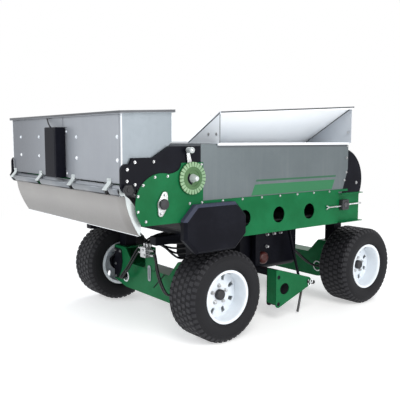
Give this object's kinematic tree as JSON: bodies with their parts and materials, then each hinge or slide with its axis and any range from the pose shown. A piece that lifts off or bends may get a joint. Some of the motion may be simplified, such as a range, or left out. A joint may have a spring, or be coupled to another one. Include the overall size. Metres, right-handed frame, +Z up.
{
  "type": "lawn topdresser",
  "caption": "Self-propelled lawn topdresser: flared hopper over a cleated conveyor floor, metering gate, rear beater under a galvanised hood with a swinging deflector pan, on turf wheels.",
  "frame": {"origin": "middle of the bounding box's footprint, on the ground", "axes": "+X forward, towards the engine; +Y left; +Z up. The beater and the deflector pan are at the rear."},
  "size_m": [2.5058, 1.707, 1.4799],
  "materials": {
    "tyre": "matte rubber",
    "white_paint": "gloss white",
    "black_paint": "satin black",
    "green_paint": "gloss green",
    "dark_green_paint": "satin dark green",
    "galvanised": "galvanised",
    "pale_galvanised": "bright galvanised",
    "bare_metal": "zinc plated",
    "dark_metal": "dull",
    "cast_metal": "painted casting",
    "belt_rubber": "matte",
    "dial_paint": "satin yellow green",
    "black_plastic": "moulded"
  },
  "bodies": {
    "base": {"rear_right_wheel_motor": "black_paint", "rear_left_wheel_motor": "black_paint", "front_right_wheel_motor": "black_paint", "front_left_wheel_motor": "black_paint", "rear_axle": "green_paint", "front_axle": "green_paint", "valve_block": "bare_metal", "right_rail": "black_paint", "left_rail": "black_paint", "rear_cross_member": "black_paint", "front_cross_member": "black_paint", "right_side_plate": "green_paint", "left_side_plate": "green_paint", "right_hopper_side": "galvanised", "left_hopper_side": "galvanised", "hopper_front_wall": "galvanised", "hopper_rear_wall": "galvanised", "right_hopper_flare": "pale_galvanised", "left_hopper_flare": "pale_galvanised", "dial": "dial_paint", "conveyor_belt": "belt_rubber", "conveyor_bed": "galvanised", "drive_motor": "black_paint", "drive_chain": "dark_metal", "chain_guard": "black_paint", "right_takeup_channel": "green_paint", "right_takeup_bearing": "cast_metal", "left_takeup_channel": "green_paint", "left_takeup_bearing": "cast_metal", "right_beater_bearing": "cast_metal", "left_beater_bearing": "cast_metal", "beater_motor": "black_paint", "rear_hood": "galvanised", "rear_cover_box": "black_paint", "hinge_bar": "bare_metal", "right_hood_bracket": "black_paint", "left_hood_bracket": "black_paint", "front_deck": "dark_green_paint", "engine": "cast_metal", "front_guard": "black_paint", "stand_yoke": "green_paint"},
    "rear_right_wheel": {"rear_right_tyre": "tyre", "rear_right_rim": "white_paint"},
    "rear_left_wheel": {"rear_left_tyre": "tyre", "rear_left_rim": "white_paint"},
    "front_right_wheel": {"front_right_tyre": "tyre", "front_right_rim": "white_paint"},
    "front_left_wheel": {"front_left_tyre": "tyre", "front_left_rim": "white_paint"},
    "beater_rotor": {"beater": "dark_metal"},
    "drive_drum_rotor": {"drive_drum": "dark_metal"},
    "idler_drum_rotor": {"idler_drum": "dark_metal"},
    "motor_sprocket_rotor": {"motor_sprocket": "bare_metal"},
    "gate_control": {"gate_shaft": "dark_metal", "gate_lever": "bare_metal"},
    "gate": {"metering_gate": "bare_metal"},
    "pan": {"deflector_pan": "galvanised"},
    "right_knob": {"right_clamp_knob": "black_plastic"},
    "left_knob": {"left_clamp_knob": "black_plastic"},
    "prop": {"stand_prop": "dark_metal"}
  },
  "joints": [
    {"name": "rear_right_wheel_spin", "type": "hinge", "parent": "base", "child": "rear_right_wheel", "pos_m": [-0.44357, -0.65235, 0.288], "axis": [0, 1, 0], "continuous": true},
    {"name": "rear_left_wheel_spin", "type": "hinge", "parent": "base", "child": "rear_left_wheel", "pos_m": [-0.44357, 0.61065, 0.288], "axis": [0, 1, 0], "continuous": true},
    {"name": "front_right_wheel_spin", "type": "hinge", "parent": "base", "child": "front_right_wheel", "pos_m": [0.96043, -0.65235, 0.288], "axis": [0, 1, 0], "continuous": true},
    {"name": "front_left_wheel_spin", "type": "hinge", "parent": "base", "child": "front_left_wheel", "pos_m": [0.96043, 0.61065, 0.288], "axis": [0, 1, 0], "continuous": true},
    {"name": "beater_spin", "type": "hinge", "parent": "base", "child": "beater_rotor", "pos_m": [-0.95157, -0.02085, 0.9], "axis": [0, 1, 0], "continuous": true},
    {"name": "drive_drum_spin", "type": "hinge", "parent": "base", "child": "drive_drum_rotor", "pos_m": [-0.72357, -0.02085, 0.79], "axis": [0, 1, 0], "continuous": true},
    {"name": "idler_drum_spin", "type": "hinge", "parent": "base", "child": "idler_drum_rotor", "pos_m": [0.60843, -0.02085, 0.79], "axis": [0, 1, 0], "continuous": true},
    {"name": "motor_sprocket_spin", "type": "hinge", "parent": "base", "child": "motor_sprocket_rotor", "pos_m": [-0.50357, -0.81, 0.668], "axis": [0, 1, 0], "continuous": true},
    {"name": "gate_lever_swing", "type": "hinge", "parent": "base", "child": "gate_control", "pos_m": [-0.74957, -0.02085, 1.033], "axis": [0, -1, 0], "range_deg": [0, 50]},
    {"name": "gate_lift", "type": "slide", "parent": "base", "child": "gate", "axis": [0, 0, 1], "range_m": [0, 0.1306]},
    {"name": "pan_swing", "type": "hinge", "parent": "base", "child": "pan", "pos_m": [-1.17257, -0.02085, 0.989], "axis": [0, 1, 0], "range_deg": [0, 36]},
    {"name": "right_knob_turn", "type": "hinge", "parent": "base", "child": "right_knob", "pos_m": [-1.17257, -0.817, 0.989], "axis": [0, 1, 0], "continuous": true},
    {"name": "left_knob_turn", "type": "hinge", "parent": "base", "child": "left_knob", "pos_m": [-1.17257, 0.776, 0.989], "axis": [0, 1, 0], "continuous": true},
    {"name": "prop_swing", "type": "hinge", "parent": "base", "child": "prop", "pos_m": [0.40243, -0.62685, 0.236], "axis": [0, 1, 0], "range_deg": [0, 85]}
  ],
  "couplings": [
    {"joint": "idler_drum_spin", "follows": "drive_drum_spin", "ratio": 1},
    {"joint": "motor_sprocket_spin", "follows": "drive_drum_spin", "ratio": 1.5},
    {"joint": "gate_lift", "follows": "gate_lever_swing", "m_per_rad": 0.14962}
  ]
}
